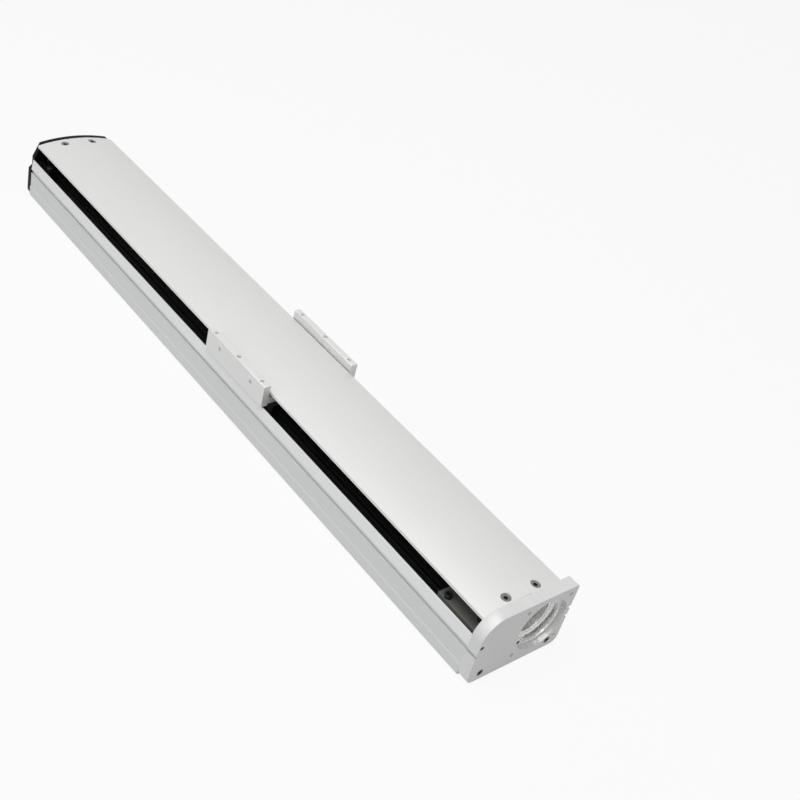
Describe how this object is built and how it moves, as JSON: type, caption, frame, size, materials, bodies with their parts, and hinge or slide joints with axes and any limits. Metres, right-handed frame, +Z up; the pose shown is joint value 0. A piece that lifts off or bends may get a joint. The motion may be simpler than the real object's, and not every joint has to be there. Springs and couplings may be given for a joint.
{
  "type": "ball screw linear actuator",
  "caption": "Long enclosed ball screw actuator: channel base, crowned cover, and a carriage whose ears ride along both sides of the cover; a motor bolts to one end.",
  "frame": {"origin": "middle of the base's underside", "axes": "+X along the stroke towards the motor end, +Y to the side on which the screw runs, +Z up"},
  "size_m": [1.05, 0.139, 0.0925],
  "materials": {
    "anodised_body": "clear anodised, satin",
    "anodised_cover": "clear anodised, fine satin",
    "grey_end_block": "clear anodised, milled",
    "anodised_carriage": "clear anodised, satin",
    "dark_housing": "dark anodised, matt",
    "black_plate": "black, satin",
    "black_liner": "black, matt",
    "black_steel": "black treated, oiled",
    "ground_steel": "ground",
    "bearing_steel": "polished",
    "spring_steel": "phosphated",
    "dark_screw": "black oxide",
    "bright_screw": "bright",
    "rubber_stop": "matt",
    "rubber_seal": "matt",
    "cap_plastic": "moulded",
    "brass_fitting": "turned"
  },
  "bodies": {
    "base": {"base_extrusion": "anodised_body", "motor_end_block": "grey_end_block", "drive_housing": "dark_housing", "far_support_housing": "black_plate", "end_plate": "black_plate", "top_cover": "anodised_cover", "cover_screws": "bright_screw", "guide_rail": "black_steel", "rail_screws": "dark_screw", "end_block_screws": "dark_screw", "end_plate_screws": "dark_screw", "housing_screws": "dark_screw", "fixed_bearing_outer_rings": "bearing_steel", "bearing_retainer": "black_steel", "retainer_screws": "dark_screw", "far_bearing_outer_ring": "bearing_steel", "far_bearing_clip": "spring_steel", "stop_bumpers": "rubber_stop", "bumper_screws": "dark_screw", "left_channel_liner": "black_liner", "right_channel_liner": "black_liner"},
    "screw": {"ball_screw": "ground_steel", "fixed_bearing_inner_rings": "bearing_steel", "fixed_bearing_balls": "bearing_steel", "bearing_collar": "ground_steel", "bearing_locknut": "black_steel", "far_bearing_inner_ring": "bearing_steel", "far_bearing_balls": "bearing_steel", "far_shaft_clip": "spring_steel"},
    "carriage": {"carriage_table": "anodised_carriage", "front_guide_block": "black_steel", "rear_guide_block": "black_steel", "guide_end_caps": "cap_plastic", "guide_end_seals": "rubber_seal", "guide_balls": "bearing_steel", "guide_block_screws": "dark_screw", "nut_bracket": "dark_housing", "nut_bracket_screws": "dark_screw", "ball_nut": "ground_steel", "nut_balls": "bearing_steel", "nut_wipers": "rubber_seal", "nut_screws": "dark_screw", "grease_nipples": "brass_fitting"}
  },
  "joints": [
    {"name": "carriage_slide", "type": "slide", "parent": "base", "child": "carriage", "axis": [1, 0, 0], "range_m": [-0.457, 0.329]},
    {"name": "screw_spin", "type": "hinge", "parent": "base", "child": "screw", "pos_m": [0, 0.027, 0.046], "axis": [1, 0, 0], "range_deg": [-11900, 16500]}
  ],
  "couplings": [
    {"joint": "screw_spin", "follows": "carriage_slide", "rad_per_m": -628.32}
  ]
}
